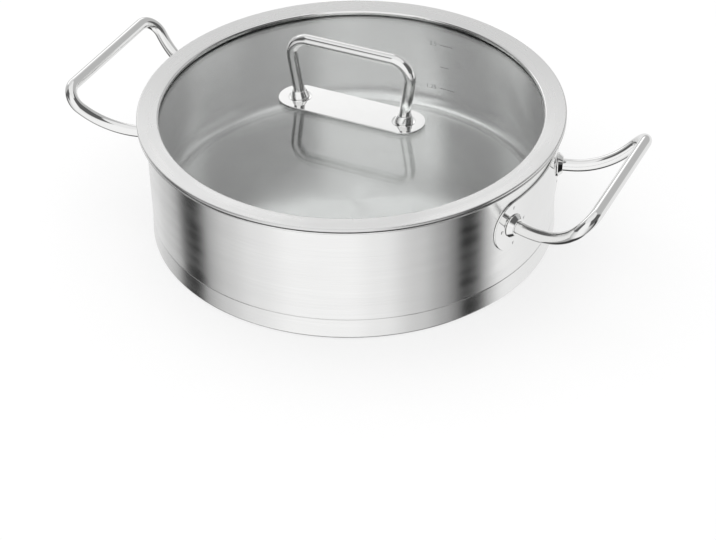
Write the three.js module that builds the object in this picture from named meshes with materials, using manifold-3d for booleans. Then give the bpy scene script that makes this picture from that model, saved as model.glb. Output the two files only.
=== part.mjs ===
// Serving pan with a glass lid: a straight-walled steel pan on an encapsulated base, two bent-rod side
// handles welded to curved plates, and a flat glass lid held in a steel ring with a bent-rod grip.
// Millimetres, +Z up. The origin is on the pan's axis at the surface it stands on, and +X runs through
// the side handles.
import * as THREE from 'three';
import { mergeVertices } from 'three/addons/utils/BufferGeometryUtils.js';
import Module from 'manifold-3d';

const wasm = await Module();
wasm.setup();

// Clearances
const SEAT_GAP = 0.2; // between flat faces that rest on each other
const FIT_GAP = 0.3; // between round or curved faces that fit together
const LID_PLUG_CLEARANCE = 0.6; // between the lid's skirt and the pan's wall

// Pan shell
const PAN_INNER_RADIUS = 140;
const PAN_SHEET = 1.0;
const PAN_HEIGHT = 88.8; // standing surface to the top of the pouring rim
const PAN_CORNER_RADIUS = 11; // inside, between floor and wall
const RIM_FLARE_RADIUS = 5; // inside face of the pouring rim
const RIM_LAND = 0.4; // flat lip past the flare

// Encapsulated base
const CAP_SHEET = 0.8;
const CAP_CORNER_RADIUS = 2;
const CAP_FLARE = 0.6; // how much wider the band is at the bottom than at the groove
const CORE_THICKNESS = 6.2;
const CORE_RIM_DROP = 3; // the core's rim stays this far under the groove
const BAND_HEIGHT = 15; // groove between the wall and the base band

// Side handles
const HANDLE_ROD_RADIUS = 4.25;
const HANDLE_Z = 56; // level run of the rod, and middle of the plate
const HANDLE_SOCKET_ANGLE = 16.1; // degrees each side of the handle's axis
const HANDLE_LEVEL_RUN = 33.7; // pan wall to where the level and rising lines cross
const HANDLE_REACH = 53.7; // pan wall to the middle of the grip bar
const HANDLE_RISE = 28.9; // grip bar above the level run
const HANDLE_HALF_WIDTH = 61.3; // where the lines of arm and bar cross
const HANDLE_BEND_RADIUS = 57;
const HANDLE_CORNER_RADIUS = 11.6;
const HANDLE_PLATE_SHEET = 1;
const HANDLE_PLATE_HALF_HEIGHT = 18.3; // also the radius of the plate's round ends
const HANDLE_COLLAR_BASE_RADIUS = 8.4;
const HANDLE_COLLAR_TOP_RADIUS = 5.8;
const HANDLE_COLLAR_HEIGHT = 3.6;

// Lid ring, glass and seal
const LID_OVERHANG = 1.2; // ring past the pan's rim
const LID_RING_INSET = 7.8; // skirt to the ring's inner edge
const LID_RING_OUTER_THICKNESS = 2.0;
const LID_RING_INNER_RISE = 0.7; // inner edge's top above the pan's rim seat
const LID_RING_EDGE_HEIGHT = 2.3; // polished inner edge
const LID_RING_SHEET = 0.8; // skirt and the lip under the glass
const LID_EDGE_ROUND = 0.4;
const LID_SEAL_THICKNESS = 0.5;
const GLASS_THICKNESS = 4;

// Lid grip
const GRIP_ROD_RADIUS = 4;
const GRIP_FOOT_HALF_SPAN = 39.2;
const GRIP_TOP_HALF_SPAN = 46; // where the lines of leg and bar cross
const GRIP_HEIGHT = 45.8; // plate to the middle of the bar
const GRIP_CORNER_RADIUS = 12.5;
const GRIP_PLATE_END_RADIUS = 15;
const GRIP_PLATE_SHEET = 1.1;
const GRIP_PAD_THICKNESS = 0.4;
const GRIP_PAD_INSET = 0.6;
const GRIP_COLLAR_BASE_RADIUS = 6.4;
const GRIP_COLLAR_TOP_RADIUS = 5.0;
const GRIP_COLLAR_HEIGHT = 5.2;

// Fasteners through the glass
const SCREW_RADIUS = 2;
const SCREW_HEAD_RADIUS = 4.2;
const SCREW_HEAD_HEIGHT = 2.4;
const SCREW_HEAD_CROWN = 1.4; // sideways run of the head's bevel
const SCREW_ENGAGEMENT = 8; // thread inside the leg, above the plate
const WASHER_RADIUS = 6.5;
const WASHER_THICKNESS = 0.8;
const GROMMET_WALL = 1.2;

// Facets
const ROUND_STEPS = 48; // around the pan
const SMALL_ROUND_STEPS = 20; // around collars, screws and washers
const ROD_SIDES = 10;
const ROD_STEPS = 56;
const ARC_STEPS = 5;

// Shaping
const WELD_TOLERANCE = 1e-4; // vertices closer than this become one
const BEND_SHARE = 0.98; // of a straight line, the most that its two bends take up
const CUT_OVERRUN = 1; // how far a cutting body runs past what it cuts

// Pan levels and radii
const panOuterRadius = PAN_INNER_RADIUS + PAN_SHEET;
const coreBottomZ = CAP_SHEET + FIT_GAP;
const coreTopZ = coreBottomZ + CORE_THICKNESS;
const floorUndersideZ = coreTopZ + FIT_GAP;
const floorTopZ = floorUndersideZ + PAN_SHEET;
const cornerCentre = new THREE.Vector2(PAN_INNER_RADIUS - PAN_CORNER_RADIUS, floorTopZ + PAN_CORNER_RADIUS);
const outerCornerRadius = PAN_CORNER_RADIUS + PAN_SHEET;
const flareCentre = new THREE.Vector2(PAN_INNER_RADIUS + RIM_FLARE_RADIUS, PAN_HEIGHT - RIM_FLARE_RADIUS);
const rimRadius = flareCentre.x + RIM_LAND;
const capTopInnerRadius = cornerArcRadiusAt(BAND_HEIGHT, outerCornerRadius) + FIT_GAP;
const capTopRadius = capTopInnerRadius + CAP_SHEET;
const capBottomRadius = capTopRadius + CAP_FLARE;

// Side handle radii, measured from the pan's axis
const plateInnerRadius = panOuterRadius + FIT_GAP;
const plateOuterRadius = plateInnerRadius + HANDLE_PLATE_SHEET;
const socketRadius = plateOuterRadius + FIT_GAP;
const socketAngle = THREE.MathUtils.degToRad(HANDLE_SOCKET_ANGLE);

// Lid levels and radii
const ringSeatZ = PAN_HEIGHT + FIT_GAP;
const ringInnerTopZ = ringSeatZ + LID_RING_INNER_RISE;
const ringOuterTopZ = ringSeatZ + LID_RING_OUTER_THICKNESS;
const ringEdgeBottomZ = ringInnerTopZ - LID_RING_EDGE_HEIGHT;
const sealTopZ = ringEdgeBottomZ - SEAT_GAP;
const sealBottomZ = sealTopZ - LID_SEAL_THICKNESS;
const glassTopZ = sealBottomZ - SEAT_GAP;
const glassBottomZ = glassTopZ - GLASS_THICKNESS;
const lipTopZ = glassBottomZ - FIT_GAP;
const lipBottomZ = lipTopZ - LID_RING_SHEET;
const skirtRadius = PAN_INNER_RADIUS - LID_PLUG_CLEARANCE;
const skirtInnerRadius = skirtRadius - LID_RING_SHEET;
const ringInnerRadius = skirtRadius - LID_RING_INSET;
const ringOuterRadius = rimRadius + LID_OVERHANG;
const glassRadius = skirtInnerRadius - FIT_GAP;

// Grip levels
const padBottomZ = glassTopZ + SEAT_GAP;
const gripPlateBottomZ = padBottomZ + GRIP_PAD_THICKNESS + SEAT_GAP;
const gripPlateTopZ = gripPlateBottomZ + GRIP_PLATE_SHEET;
const gripFootZ = gripPlateTopZ + SEAT_GAP;
const gripBarZ = gripPlateTopZ + GRIP_HEIGHT;
const screwBoreRadius = SCREW_RADIUS + FIT_GAP;
const grommetRadius = screwBoreRadius + GROMMET_WALL;
const glassHoleRadius = grommetRadius + FIT_GAP;
const washerTopZ = glassBottomZ - SEAT_GAP;
const screwHeadTopZ = washerTopZ - WASHER_THICKNESS - SEAT_GAP;
const screwTopZ = gripPlateTopZ + SCREW_ENGAGEMENT;

const STEEL = { color: 0xc8c8c6, roughness: 0.32, metalness: 1 };
const POLISHED = { color: 0xd8d8d6, roughness: 0.08, metalness: 1 };
const ALUMINIUM = { color: 0xb9bbbd, roughness: 0.45, metalness: 1 };
const GLASS = { color: 0xdfe6e4, roughness: 0.03, metalness: 0, transparent: true, opacity: 0.3 };
const SEAL = { color: 0x1c1d1e, roughness: 0.6, metalness: 0 };

/** Radius at height z of an arc about the pan's inside corner. */
function cornerArcRadiusAt(z, radius) {
  const below = Math.max(cornerCentre.y - z, 0);
  return cornerCentre.x + Math.sqrt(radius ** 2 - below ** 2);
}

/** Points of an arc in a turning profile, angles in degrees. */
function arc(centreX, centreY, radius, from, to, steps = ARC_STEPS) {
  const points = [];
  for (let i = 0; i <= steps; i += 1) {
    const angle = THREE.MathUtils.degToRad(from + ((to - from) * i) / steps);
    points.push(new THREE.Vector2(centreX + radius * Math.cos(angle), centreY + radius * Math.sin(angle)));
  }
  return points;
}

/** Profile point at radius r and height z. */
function at(r, z) {
  return new THREE.Vector2(r, z);
}

/** Welds a geometry's vertices, drops its empty triangles and turns its faces outward. */
function closed(source) {
  const bare = source.clone();
  bare.deleteAttribute('normal');
  bare.deleteAttribute('uv');
  const welded = mergeVertices(bare, WELD_TOLERANCE);
  const position = welded.getAttribute('position');
  const corners = [0, 1, 2].map(() => new THREE.Vector3());
  const triangles = [];
  let volume = 0;
  for (let i = 0; i < welded.index.count; i += 3) {
    const triangle = [0, 1, 2].map((k) => welded.index.getX(i + k));
    if (new Set(triangle).size === 3) {
      triangle.forEach((vertex, k) => corners[k].fromBufferAttribute(position, vertex));
      volume += corners[0].dot(corners[1].clone().cross(corners[2]));
      triangles.push(triangle);
    }
  }
  welded.setIndex(triangles.flatMap(([a, b, c]) => (volume < 0 ? [a, c, b] : [a, b, c])));
  return welded;
}

/** Body turned about Z from a profile that ends on the axis. */
function turned(profile, steps = ROUND_STEPS) {
  return closed(new THREE.LatheGeometry(profile, steps).rotateX(Math.PI / 2));
}

/** Ring turned about Z from an outline that closes on itself. */
function turnedRing(outline, steps = ROUND_STEPS) {
  return turned([...outline, outline[0]], steps);
}

/** Straight tube about Z. */
function tube(innerRadius, outerRadius, bottomZ, topZ, steps = SMALL_ROUND_STEPS) {
  const outline = [
    at(innerRadius, bottomZ),
    at(outerRadius, bottomZ),
    at(outerRadius, topZ),
    at(innerRadius, topZ),
  ];
  return turnedRing(outline, steps);
}

/** Solid rod about Z. */
function rod(radius, bottomZ, topZ, steps = SMALL_ROUND_STEPS) {
  return turned([at(0, bottomZ), at(radius, bottomZ), at(radius, topZ), at(0, topZ)], steps);
}

/** Plate between two levels, cut to a shape in X and Y. */
function slab(shape, bottomZ, topZ) {
  const options = { depth: topZ - bottomZ, bevelEnabled: false, curveSegments: ARC_STEPS * 2 };
  return closed(new THREE.ExtrudeGeometry(shape, options).translate(0, 0, bottomZ));
}

/** Long shape with two round ends, along X. */
function stadium(halfSpan, endRadius, endWidth = endRadius) {
  const shape = new THREE.Shape();
  shape.moveTo(halfSpan, -endRadius);
  shape.absellipse(halfSpan, 0, endWidth, endRadius, -Math.PI / 2, Math.PI / 2);
  shape.lineTo(-halfSpan, endRadius);
  shape.absellipse(-halfSpan, 0, endWidth, endRadius, Math.PI / 2, (Math.PI * 3) / 2);
  return shape;
}

/** Closed mesh as a solid for joining and cutting. */
function solid(geometry) {
  const vertProperties = new Float32Array(geometry.getAttribute('position').array);
  const triVerts = new Uint32Array(geometry.index.array);
  return new wasm.Manifold(new wasm.Mesh({ numProp: 3, vertProperties, triVerts }));
}

/** Geometry of a joined or cut solid. */
function shapeOf(body) {
  const mesh = body.getMesh();
  const geometry = new THREE.BufferGeometry();
  geometry.setAttribute('position', new THREE.Float32BufferAttribute(mesh.vertProperties, 3));
  geometry.setIndex([...mesh.triVerts]);
  return closed(geometry);
}

/** Geometry with the given bodies cut away. */
function cut(geometry, tools) {
  return shapeOf(tools.reduce((body, tool) => body.subtract(solid(tool)), solid(geometry)));
}

/** Round arc in space, from one tangent point to the other. */
class BendCurve extends THREE.Curve {
  constructor(centre, start, end, angle) {
    super();
    this.centre = centre;
    this.u = start.clone().sub(centre);
    this.angle = angle;
    const towards = end.clone().sub(centre);
    const across = towards.addScaledVector(this.u, -towards.dot(this.u) / this.u.lengthSq());
    this.v = across.setLength(this.u.length());
  }

  getPoint(t, target = new THREE.Vector3()) {
    const turn = t * this.angle;
    target.copy(this.centre).addScaledVector(this.u, Math.cos(turn));
    return target.addScaledVector(this.v, Math.sin(turn));
  }
}

/** Path through straight lines with a round bend at each inner corner, no bend longer than its lines. */
function bentPath(corners, radii) {
  const legs = corners.slice(1).map((corner, i) => corner.clone().sub(corners[i]));
  const lengths = legs.map((leg) => leg.length());
  const directions = legs.map((leg) => leg.clone().normalize());
  const turns = radii.map((_, i) => directions[i].angleTo(directions[i + 1]));
  const tangents = radii.map((radius, i) => radius * Math.tan(turns[i] / 2));
  const fits = lengths.map((length, i) => {
    const taken = (tangents[i - 1] ?? 0) + (tangents[i] ?? 0);
    return Math.min(1, (BEND_SHARE * length) / taken);
  });
  const path = new THREE.CurvePath();
  let from = corners[0];
  radii.forEach((_, i) => {
    const tangent = tangents[i] * Math.min(fits[i], fits[i + 1]);
    const corner = corners[i + 1];
    const start = corner.clone().addScaledVector(directions[i], -tangent);
    const end = corner.clone().addScaledVector(directions[i + 1], tangent);
    const inward = directions[i + 1].clone().sub(directions[i]).normalize();
    const centre = corner.clone().addScaledVector(inward, tangent / Math.sin(turns[i] / 2));
    path.add(new THREE.LineCurve3(from, start));
    path.add(new BendCurve(centre, start, end, turns[i]));
    from = end;
  });
  path.add(new THREE.LineCurve3(from, corners.at(-1)));
  return path;
}

/** Round rod along a path, with flat closed ends. */
function bentRod(path, radius) {
  const section = new THREE.Shape();
  for (let i = 0; i < ROD_SIDES; i += 1) {
    const angle = (i / ROD_SIDES) * Math.PI * 2;
    const point = [radius * Math.cos(angle), radius * Math.sin(angle)];
    if (i === 0) {
      section.moveTo(...point);
    } else {
      section.lineTo(...point);
    }
  }
  const options = { steps: ROD_STEPS, extrudePath: path, bevelEnabled: false };
  return closed(new THREE.ExtrudeGeometry(section, options));
}

/** Conical collar about Z with a bore for its rod. */
function collar(boreRadius, baseRadius, topRadius, bottomZ, topZ) {
  const outline = [
    at(boreRadius, bottomZ),
    at(baseRadius, bottomZ),
    at(topRadius, topZ),
    at(boreRadius, topZ),
  ];
  return turnedRing(outline, SMALL_ROUND_STEPS);
}

/** Named sub-part with its own material. */
function piece(name, geometry, finish) {
  geometry.computeVertexNormals();
  const mesh = new THREE.Mesh(geometry, new THREE.MeshStandardMaterial(finish));
  mesh.name = name;
  return mesh;
}

/** Drawn sheet shell: floor, round corner, straight wall and flared pouring rim. */
function panShell() {
  return turned([
    at(0, floorUndersideZ),
    ...arc(cornerCentre.x, cornerCentre.y, outerCornerRadius, -90, 0),
    ...arc(flareCentre.x, flareCentre.y, RIM_FLARE_RADIUS - PAN_SHEET, 180, 90),
    at(rimRadius, PAN_HEIGHT - PAN_SHEET),
    at(rimRadius, PAN_HEIGHT),
    ...arc(flareCentre.x, flareCentre.y, RIM_FLARE_RADIUS, 90, 180),
    ...arc(cornerCentre.x, cornerCentre.y, PAN_CORNER_RADIUS, 0, -90),
    at(0, floorTopZ),
  ]);
}

/** Heat-spreading disc between the shell's floor and the cap. */
function baseCore() {
  const rimZ = BAND_HEIGHT - CORE_RIM_DROP;
  const seatRadius = outerCornerRadius + FIT_GAP;
  const rimInnerRadius = cornerArcRadiusAt(rimZ, seatRadius);
  const rimTurn = Math.atan2(rimZ - cornerCentre.y, rimInnerRadius - cornerCentre.x);
  const rimAngle = THREE.MathUtils.radToDeg(rimTurn);
  const radius = capTopInnerRadius - FIT_GAP;
  return turned([
    at(0, coreBottomZ),
    ...arc(radius - CAP_CORNER_RADIUS, coreBottomZ + CAP_CORNER_RADIUS, CAP_CORNER_RADIUS, -90, 0),
    at(radius, rimZ),
    ...arc(cornerCentre.x, cornerCentre.y, seatRadius, rimAngle, -90),
    at(0, coreTopZ),
  ]);
}

/** Pressed steel cap around the core, up to the groove. */
function baseCap() {
  const cornerX = capBottomRadius - CAP_CORNER_RADIUS;
  return turned([
    at(0, 0),
    ...arc(cornerX, CAP_CORNER_RADIUS, CAP_CORNER_RADIUS, -90, 0),
    at(capTopRadius, BAND_HEIGHT),
    at(capTopInnerRadius, BAND_HEIGHT),
    ...arc(cornerX, CAP_CORNER_RADIUS, CAP_CORNER_RADIUS - CAP_SHEET, 0, -90),
    at(0, CAP_SHEET),
  ]);
}

/** Curved plate on the wall that carries a side handle at +X. */
function handlePlate() {
  const middleRadius = (plateInnerRadius + plateOuterRadius) / 2;
  const straightY = middleRadius * Math.sin(socketAngle);
  const endY = middleRadius * Math.sin(socketAngle + HANDLE_PLATE_HALF_HEIGHT / middleRadius);
  const outline = stadium(straightY, HANDLE_PLATE_HALF_HEIGHT, endY - straightY);
  const facingOut = new THREE.Matrix4().makeBasis(
    new THREE.Vector3(0, 1, 0),
    new THREE.Vector3(0, 0, 1),
    new THREE.Vector3(1, 0, 0),
  );
  const blank = slab(outline, PAN_INNER_RADIUS / 2, plateOuterRadius + CUT_OVERRUN).applyMatrix4(facingOut);
  const reachZ = HANDLE_PLATE_HALF_HEIGHT + CUT_OVERRUN;
  const sleeve = tube(plateInnerRadius, plateOuterRadius, -reachZ, reachZ, ROUND_STEPS);
  return shapeOf(solid(blank).intersect(solid(sleeve))).translate(0, 0, HANDLE_Z);
}

/** Centre line of a side handle at +X, from one socket to the other. */
function handlePath() {
  const half = (side) => {
    const outward = new THREE.Vector3(Math.cos(socketAngle), side * Math.sin(socketAngle), 0);
    const level = new THREE.Vector3(0, 0, HANDLE_Z);
    return [
      outward.clone().multiplyScalar(socketRadius).add(level),
      outward.clone().multiplyScalar(panOuterRadius + HANDLE_LEVEL_RUN).add(level),
      new THREE.Vector3(panOuterRadius + HANDLE_REACH, side * HANDLE_HALF_WIDTH, HANDLE_Z + HANDLE_RISE),
    ];
  };
  const corners = [...half(-1), ...half(1).reverse()];
  const radii = [HANDLE_BEND_RADIUS, HANDLE_CORNER_RADIUS];
  return bentPath(corners, [...radii, ...radii.toReversed()]);
}

/** Plate, rod and two collars of one side handle, turned to its side of the pan. */
function sideHandle(side, turn) {
  const group = new THREE.Group();
  group.rotation.z = turn;
  group.add(piece(`handle_plate_${side}`, handlePlate(), POLISHED));
  group.add(piece(`handle_rod_${side}`, bentRod(handlePath(), HANDLE_ROD_RADIUS), POLISHED));
  const sockets = { a: -socketAngle, b: socketAngle };
  for (const [label, angle] of Object.entries(sockets)) {
    const geometry = collar(
      HANDLE_ROD_RADIUS + FIT_GAP,
      HANDLE_COLLAR_BASE_RADIUS,
      HANDLE_COLLAR_TOP_RADIUS,
      0,
      HANDLE_COLLAR_HEIGHT,
    );
    const mesh = piece(`handle_collar_${side}_${label}`, geometry, POLISHED);
    const outward = new THREE.Vector3(Math.cos(angle), Math.sin(angle), 0);
    mesh.position.copy(outward).multiplyScalar(socketRadius).setZ(HANDLE_Z);
    mesh.quaternion.setFromUnitVectors(new THREE.Vector3(0, 0, 1), outward);
    group.add(mesh);
  }
  return group;
}

/** Formed ring: top flange on the pan's rim, skirt inside the wall and a lip under the glass. */
function lidRing() {
  return turnedRing([
    at(ringInnerRadius, ringEdgeBottomZ),
    at(skirtInnerRadius, ringEdgeBottomZ),
    at(skirtInnerRadius, lipTopZ),
    at(ringInnerRadius, lipTopZ),
    at(ringInnerRadius, lipBottomZ),
    at(skirtRadius - LID_EDGE_ROUND, lipBottomZ),
    at(skirtRadius, lipBottomZ + LID_EDGE_ROUND),
    at(skirtRadius, ringSeatZ),
    at(ringOuterRadius - LID_EDGE_ROUND, ringSeatZ),
    at(ringOuterRadius, ringSeatZ + LID_EDGE_ROUND),
    at(ringOuterRadius, ringOuterTopZ - LID_EDGE_ROUND * 2),
    at(rimRadius, ringOuterTopZ),
    at(ringInnerRadius + LID_EDGE_ROUND, ringInnerTopZ),
    at(ringInnerRadius, ringInnerTopZ - LID_EDGE_ROUND),
  ]);
}

/** Flat pane with a hole for each grommet. */
function lidGlass() {
  const holes = [-1, 1].map((side) => {
    const drill = rod(glassHoleRadius, glassBottomZ - CUT_OVERRUN, glassTopZ + CUT_OVERRUN);
    return drill.translate(side * GRIP_FOOT_HALF_SPAN, 0, 0);
  });
  return cut(rod(glassRadius, glassBottomZ, glassTopZ, ROUND_STEPS), holes);
}

/** Long plate or pad under the grip, with its two screw holes. */
function gripSlab(endRadius, bottomZ, topZ) {
  const outline = stadium(GRIP_FOOT_HALF_SPAN, endRadius);
  for (const side of [-1, 1]) {
    const hole = new THREE.Path();
    hole.absarc(side * GRIP_FOOT_HALF_SPAN, 0, screwBoreRadius, 0, Math.PI * 2, true);
    outline.holes.push(hole);
  }
  return slab(outline, bottomZ, topZ);
}

/** Block that trims what stands on the grip plate flush with its seat. */
function belowGripFoot() {
  const length = 2 * (GRIP_TOP_HALF_SPAN + GRIP_PLATE_END_RADIUS);
  const block = new THREE.BoxGeometry(length, 2 * GRIP_PLATE_END_RADIUS, GRIP_HEIGHT);
  return closed(block.translate(0, 0, gripFootZ - GRIP_HEIGHT / 2));
}

/** Lean of a grip leg from upright, outward at its top. */
function gripLean() {
  return Math.atan2(GRIP_TOP_HALF_SPAN - GRIP_FOOT_HALF_SPAN, gripBarZ - gripFootZ);
}

/** Bent rod of the lid's grip, with a threaded bore up each leg. */
function gripRod() {
  const sunk = GRIP_ROD_RADIUS; // run past the seat, trimmed off flush
  const half = (side) => [
    new THREE.Vector3(side * (GRIP_FOOT_HALF_SPAN - sunk * Math.tan(gripLean())), 0, gripFootZ - sunk),
    new THREE.Vector3(side * GRIP_TOP_HALF_SPAN, 0, gripBarZ),
  ];
  const path = bentPath([...half(-1), ...half(1).reverse()], [GRIP_CORNER_RADIUS, GRIP_CORNER_RADIUS]);
  const bores = [-1, 1].map((side) => {
    const bore = rod(screwBoreRadius, gripFootZ - sunk, screwTopZ + SEAT_GAP);
    return bore.translate(side * GRIP_FOOT_HALF_SPAN, 0, 0);
  });
  return cut(bentRod(path, GRIP_ROD_RADIUS), [belowGripFoot(), ...bores]);
}

/** Conical collar around a leaning leg, trimmed flush with the plate. */
function gripCollar(side) {
  const sunk = GRIP_COLLAR_BASE_RADIUS * Math.tan(gripLean());
  const cone = collar(
    GRIP_ROD_RADIUS + FIT_GAP,
    GRIP_COLLAR_BASE_RADIUS,
    GRIP_COLLAR_TOP_RADIUS,
    -sunk,
    GRIP_COLLAR_HEIGHT,
  );
  cone.rotateY(side * gripLean()).translate(side * GRIP_FOOT_HALF_SPAN, 0, gripFootZ);
  return cut(cone, [belowGripFoot()]);
}

/** Pan-head screw from under the glass. */
function lidScrew() {
  return turned(
    [
      at(0, screwHeadTopZ - SCREW_HEAD_HEIGHT),
      at(SCREW_HEAD_RADIUS - SCREW_HEAD_CROWN, screwHeadTopZ - SCREW_HEAD_HEIGHT),
      at(SCREW_HEAD_RADIUS, screwHeadTopZ - SCREW_HEAD_HEIGHT / 2),
      at(SCREW_HEAD_RADIUS, screwHeadTopZ),
      at(SCREW_RADIUS, screwHeadTopZ),
      at(SCREW_RADIUS, screwTopZ),
      at(0, screwTopZ),
    ],
    SMALL_ROUND_STEPS,
  );
}

/** Pieces around one leg of the grip: collar, screw, washer and grommet. */
function gripFixing(label, side) {
  const group = new THREE.Group();
  const fasteners = new THREE.Group();
  fasteners.position.x = side * GRIP_FOOT_HALF_SPAN;
  fasteners.add(piece(`lid_screw_${label}`, lidScrew(), STEEL));
  const washer = tube(screwBoreRadius, WASHER_RADIUS, washerTopZ - WASHER_THICKNESS, washerTopZ);
  fasteners.add(piece(`lid_washer_${label}`, washer, STEEL));
  const grommet = tube(screwBoreRadius, grommetRadius, glassBottomZ, glassTopZ);
  fasteners.add(piece(`lid_grommet_${label}`, grommet, SEAL));
  group.add(piece(`lid_collar_${label}`, gripCollar(side), POLISHED), fasteners);
  return group;
}

/** Pan body with its base and both side handles. */
function pan() {
  const group = new THREE.Group();
  group.add(piece('pan_shell', panShell(), STEEL));
  group.add(piece('base_core', baseCore(), ALUMINIUM));
  group.add(piece('base_cap', baseCap(), STEEL));
  group.add(sideHandle('right', 0), sideHandle('left', Math.PI));
  return group;
}

/** Glass lid with its ring, seal, grip and fasteners. */
function lid() {
  const group = new THREE.Group();
  const padRadius = GRIP_PLATE_END_RADIUS - GRIP_PAD_INSET;
  group.add(piece('lid_ring', lidRing(), STEEL));
  group.add(piece('lid_glass', lidGlass(), GLASS));
  const seal = tube(ringInnerRadius + FIT_GAP, glassRadius, sealBottomZ, sealTopZ, ROUND_STEPS);
  group.add(piece('lid_seal', seal, SEAL));
  group.add(piece('lid_pad', gripSlab(padRadius, padBottomZ, padBottomZ + GRIP_PAD_THICKNESS), SEAL));
  group.add(piece('lid_plate', gripSlab(GRIP_PLATE_END_RADIUS, gripPlateBottomZ, gripPlateTopZ), POLISHED));
  group.add(piece('lid_grip', gripRod(), POLISHED));
  group.add(gripFixing('left', -1), gripFixing('right', 1));
  return group;
}

const servingPan = new THREE.Group();
servingPan.add(pan(), lid());

export default servingPan;
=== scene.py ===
"""Serving pan with a glass lid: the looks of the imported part, in a plain studio.

Sizes are in millimetres, as in the part's own source, and become metres where a mesh is made.
"""

import logging
import math
from dataclasses import dataclass
from enum import Enum
from typing import Callable, Iterable, Sequence, Union

import bmesh
import bpy
from mathutils import Matrix, Vector


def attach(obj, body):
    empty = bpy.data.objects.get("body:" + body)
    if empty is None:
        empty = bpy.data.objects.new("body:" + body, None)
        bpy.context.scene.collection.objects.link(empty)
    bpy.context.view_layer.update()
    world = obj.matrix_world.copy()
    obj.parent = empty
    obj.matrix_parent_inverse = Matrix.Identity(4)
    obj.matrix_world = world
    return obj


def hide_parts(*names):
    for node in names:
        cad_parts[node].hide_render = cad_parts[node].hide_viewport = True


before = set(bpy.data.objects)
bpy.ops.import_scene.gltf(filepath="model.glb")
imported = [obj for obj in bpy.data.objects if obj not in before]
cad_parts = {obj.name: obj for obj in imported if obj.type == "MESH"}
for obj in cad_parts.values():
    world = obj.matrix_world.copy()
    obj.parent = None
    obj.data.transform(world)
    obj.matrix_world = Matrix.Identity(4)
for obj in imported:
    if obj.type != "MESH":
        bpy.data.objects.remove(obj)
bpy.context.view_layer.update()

LOG = logging.getLogger("serving_pan")
MM = 0.001
# radius of the pinhole where a turned outline meets the axis
NEAR_AXIS = 0.001
# most of a side that the round at its end may take
CORNER_SHARE = 0.49
SHARP_ANGLE = math.radians(32)
WELD_DISTANCE = 1e-7
PAN_FACETS = 256
COLLAR_FACETS = 64
FASTENER_FACETS = 56
PAN_BODY = "pan"
LID_BODY = "lid"

Piece = bpy.types.Object
Socket = bpy.types.NodeSocket
Feed = Union[bpy.types.NodeSocket, float]
Point2 = tuple[float, float]
Triple = tuple[float, float, float]
Place = Callable[[float, float, float], Vector]
UPWARD = Vector((0.0, 0.0, 1.0))


class Side(Enum):
    """The two ends of the pan's handle axis."""

    RIGHT = "right"
    LEFT = "left"

    @property
    def turn(self) -> Matrix:
        """Turn about the pan's axis from the right side to this one."""
        return Matrix.Rotation(0.0 if self is Side.RIGHT else math.pi, 4, "Z")

    @property
    def sign(self) -> float:
        """Direction of this side along X."""
        return 1.0 if self is Side.RIGHT else -1.0


class Slot(Enum):
    """Material slot names that dress is given for each piece."""

    BRUSHED = "brushed_steel"
    POLISHED = "polished_steel"
    FASTENER = "fastener_steel"
    GLASS = "lid_glass"
    RUBBER = "seal_rubber"


# Outlines and paths


def arc(centre: Point2, radius: float, start: float, end: float, steps: int = 10) -> list[Point2]:
    """Points of a round arc.

    Args:
        centre: Middle of the arc.
        radius: Its radius.
        start: First angle in degrees.
        end: Last angle in degrees.
        steps: Number of chords.

    Returns:
        The points, both ends included.
    """
    points = []
    for i in range(steps + 1):
        angle = math.radians(start + (end - start) * i / steps)
        points.append((centre[0] + radius * math.cos(angle), centre[1] + radius * math.sin(angle)))
    return points


def rounded(corners: Sequence[Triple], steps: int = 5) -> list[Point2]:
    """Closed outline with its corners rounded.

    Args:
        corners: Each corner's place and radius.
        steps: Number of chords in each round.

    Returns:
        The outline's points in order.
    """
    outline: list[Point2] = []
    for i, (x, y, radius) in enumerate(corners):
        here = Vector((x, y))
        back = Vector(corners[i - 1][:2]) - here
        ahead = Vector(corners[(i + 1) % len(corners)][:2]) - here
        if radius <= 0:
            outline.append((x, y))
            continue
        half_open = back.angle(ahead) / 2
        tangent = min(radius / math.tan(half_open), CORNER_SHARE * back.length, CORNER_SHARE * ahead.length)
        start = here + back.normalized() * tangent
        end = here + ahead.normalized() * tangent
        bisector = (back.normalized() + ahead.normalized()).normalized()
        centre = here + bisector * (tangent / math.cos(half_open))
        for k in range(steps + 1):
            spoke = (start - centre).slerp(end - centre, k / steps)
            outline.append(tuple(centre + spoke * (start - centre).length))
    return outline


def bent_path(corners: Sequence[Vector], radii: Sequence[float], steps: int = 18) -> list[Vector]:
    """Centre line of a bent rod: straight lines with a round bend at each inner corner.

    Args:
        corners: Ends of the lines.
        radii: Bend radius at each inner corner.
        steps: Number of chords in each bend.

    Returns:
        Points along the centre line.
    """
    path = [corners[0]]
    for before, here, after, radius in zip(corners, corners[1:], corners[2:], radii):
        back = (before - here).normalized()
        ahead = (after - here).normalized()
        half_open = back.angle(ahead) / 2
        tangent = radius / math.tan(half_open)
        centre = here + (back + ahead).normalized() * (radius / math.sin(half_open))
        start = here + back * tangent - centre
        end = here + ahead * tangent - centre
        path.extend(centre + start.slerp(end, k / steps) * radius for k in range(steps + 1))
    path.append(corners[-1])
    return path


# Meshes


def placed(name: str, data: bpy.types.ID) -> Piece:
    """New object, linked to the scene."""
    thing = bpy.data.objects.new(name, data)
    bpy.context.scene.collection.objects.link(thing)
    return thing


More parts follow.
